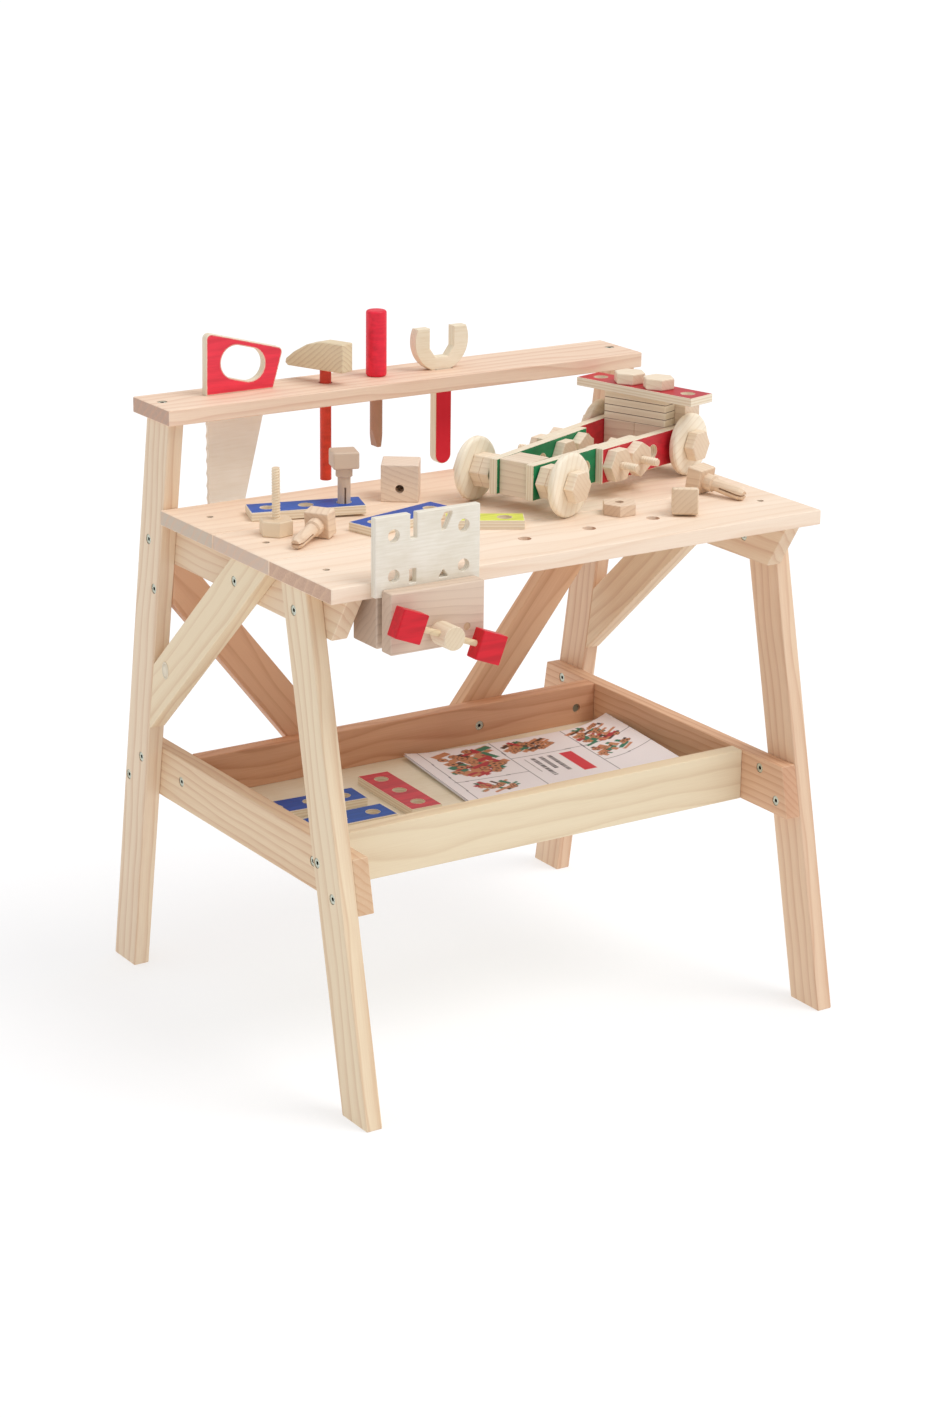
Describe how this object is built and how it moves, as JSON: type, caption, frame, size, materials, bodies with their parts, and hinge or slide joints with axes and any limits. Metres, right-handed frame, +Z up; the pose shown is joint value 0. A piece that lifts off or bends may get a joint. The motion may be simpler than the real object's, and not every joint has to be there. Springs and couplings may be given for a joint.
{
  "type": "toy tool bench",
  "caption": "Child's wooden tool bench with splayed legs, a lower tray, a tool rack, a front vise, hand tools and a bolted building-set car.",
  "frame": {"origin": "on the floor, midway between the legs, under the middle of the table top", "axes": "+X to the right of a child who stands at the vise side, +Y to the tool rack at the back, +Z up"},
  "size_m": [0.6142, 0.5594, 0.7414],
  "materials": {
    "pine": "planed, unfinished",
    "plywood": "sanded plywood",
    "beech": "sanded hardwood",
    "steel": "zinc plated",
    "red_paint": "satin paint on wood",
    "orange_paint": "satin paint on wood",
    "blue_paint": "satin paint on plywood",
    "green_paint": "satin paint on plywood",
    "yellow_paint": "satin paint on plywood",
    "stained_wood": "brown stain",
    "paper": "coated paper"
  },
  "bodies": {
    "bench": {"leg_front_left": "pine", "leg_front_right": "pine", "leg_rear_left": "pine", "leg_rear_right": "pine", "side_brace_left": "pine", "side_brace_right": "pine", "top_rail_left": "pine", "top_rail_right": "pine", "tray_side_left": "pine", "tray_side_right": "pine", "tray_front": "pine", "tray_rear": "pine", "back_brace_left": "pine", "back_brace_right": "pine", "table_board_front": "pine", "table_board_middle": "pine", "table_board_rear": "pine", "rack_board": "pine", "tray_bottom": "plywood", "frame_bolts": "steel", "barrel_nuts": "steel", "table_screws": "steel", "vise_fixed_jaw": "beech"},
    "vise_jaw": {"vise_moving_jaw": "beech", "vise_guide_rods": "beech"},
    "vise_screw": {"vise_screw": "beech", "vise_cross_dowel": "beech", "vise_knob_blocks": "red_paint"},
    "template": {"template_board": "plywood"},
    "saw": {"saw_handle": "red_paint", "saw_blade": "plywood"},
    "hammer": {"hammer_head": "beech", "hammer_handle": "orange_paint"},
    "screwdriver": {"screwdriver_handle": "red_paint", "screwdriver_shaft": "stained_wood"},
    "wrench": {"wrench": "plywood"},
    "hex_bolt": {"hex_bolt_standing": "beech"},
    "hex_nut": {"hex_nut_loose": "beech"},
    "pegged_plank": {"plank_blue_pegged": "blue_paint"},
    "peg_upright": {"peg_standing": "beech"},
    "peg_left": {"peg_lying_left": "beech"},
    "peg_front": {"peg_lying_front": "beech"},
    "peg_right": {"peg_lying_right": "beech"},
    "cube": {"block_loose": "beech"},
    "blue_plank": {"plank_blue_loose": "blue_paint"},
    "yellow_plank": {"plank_yellow": "yellow_paint"},
    "tray_red_plank": {"plank_tray_red": "red_paint"},
    "tray_blue_planks": {"planks_tray_blue": "blue_paint"},
    "booklet": {"booklet": "paper"},
    "car": {"car_planks_green": "green_paint", "car_planks_red": "red_paint", "car_blocks": "beech", "car_stack": "plywood", "car_spoiler": "red_paint", "car_bolts": "beech", "car_nuts": "beech"},
    "wheel_front_near": {"wheel_front_near": "beech"},
    "wheel_front_far": {"wheel_front_far": "beech"},
    "wheel_rear_near": {"wheel_rear_near": "beech"},
    "wheel_rear_far": {"wheel_rear_far": "beech"}
  },
  "joints": [
    {"name": "vise_jaw_slide", "type": "slide", "parent": "bench", "child": "vise_jaw", "axis": [0, -1, 0], "range_m": [0, 0.03]},
    {"name": "vise_screw_turn", "type": "hinge", "parent": "vise_jaw", "child": "vise_screw", "pos_m": [-0.1988, -0.26, 0.5046], "axis": [0, -1, 0], "range_deg": [0, 1801]},
    {"name": "template_lift", "type": "slide", "parent": "bench", "child": "template", "axis": [0, 0, 1], "range_m": [0, 0.085]},
    {"name": "saw_lift", "type": "slide", "parent": "bench", "child": "saw", "axis": [0, 0, 1], "range_m": [0, 0.125]},
    {"name": "hammer_lift", "type": "slide", "parent": "bench", "child": "hammer", "axis": [0, 0, 1], "range_m": [0, 0.11]},
    {"name": "screwdriver_lift", "type": "slide", "parent": "bench", "child": "screwdriver", "axis": [0, 0, 1], "range_m": [0, 0.082]},
    {"name": "wrench_lift", "type": "slide", "parent": "bench", "child": "wrench", "axis": [0, 0, 1], "range_m": [0, 0.11]},
    {"name": "hex_bolt_lift", "type": "slide", "parent": "bench", "child": "hex_bolt", "axis": [0, 0, 1], "range_m": [0, 0.05]},
    {"name": "hex_nut_lift", "type": "slide", "parent": "bench", "child": "hex_nut", "axis": [0, 0, 1], "range_m": [0, 0.05]},
    {"name": "pegged_plank_lift", "type": "slide", "parent": "bench", "child": "pegged_plank", "axis": [0, 0, 1], "range_m": [0, 0.05]},
    {"name": "peg_upright_lift", "type": "slide", "parent": "pegged_plank", "child": "peg_upright", "axis": [0, 0, 1], "range_m": [0, 0.05]},
    {"name": "peg_left_lift", "type": "slide", "parent": "bench", "child": "peg_left", "axis": [0, 0, 1], "range_m": [0, 0.05]},
    {"name": "peg_front_lift", "type": "slide", "parent": "bench", "child": "peg_front", "axis": [0, 0, 1], "range_m": [0, 0.05]},
    {"name": "peg_right_lift", "type": "slide", "parent": "bench", "child": "peg_right", "axis": [0, 0, 1], "range_m": [0, 0.05]},
    {"name": "cube_lift", "type": "slide", "parent": "bench", "child": "cube", "axis": [0, 0, 1], "range_m": [0, 0.05]},
    {"name": "blue_plank_lift", "type": "slide", "parent": "bench", "child": "blue_plank", "axis": [0, 0, 1], "range_m": [0, 0.05]},
    {"name": "yellow_plank_lift", "type": "slide", "parent": "bench", "child": "yellow_plank", "axis": [0, 0, 1], "range_m": [0, 0.05]},
    {"name": "tray_red_lift", "type": "slide", "parent": "bench", "child": "tray_red_plank", "axis": [0, 0, 1], "range_m": [0, 0.08]},
    {"name": "tray_blue_lift", "type": "slide", "parent": "bench", "child": "tray_blue_planks", "axis": [0, 0, 1], "range_m": [0, 0.08]},
    {"name": "booklet_lift", "type": "slide", "parent": "bench", "child": "booklet", "axis": [0, 0, 1], "range_m": [0, 0.08]},
    {"name": "car_lift", "type": "slide", "parent": "bench", "child": "car", "axis": [0, 0, 1], "range_m": [0, 0.038]},
    {"name": "wheel_front_near_spin", "type": "hinge", "parent": "car", "child": "wheel_front_near", "pos_m": [0.05319, -0.10406, 0.5909], "axis": [-0.3584, 0.9336, 0], "continuous": true},
    {"name": "wheel_front_far_spin", "type": "hinge", "parent": "car", "child": "wheel_front_far", "pos_m": [0.00961, 0.00946, 0.5909], "axis": [-0.3584, 0.9336, 0], "continuous": true},
    {"name": "wheel_rear_near_spin", "type": "hinge", "parent": "car", "child": "wheel_rear_near", "pos_m": [0.27602, -0.01681, 0.5909], "axis": [-0.3584, 0.9336, 0], "continuous": true},
    {"name": "wheel_rear_far_spin", "type": "hinge", "parent": "car", "child": "wheel_rear_far", "pos_m": [0.23359, 0.09373, 0.5909], "axis": [-0.3584, 0.9336, 0], "continuous": true}
  ],
  "couplings": [
    {"joint": "vise_screw_turn", "follows": "vise_jaw_slide", "rad_per_m": 1047.2}
  ]
}
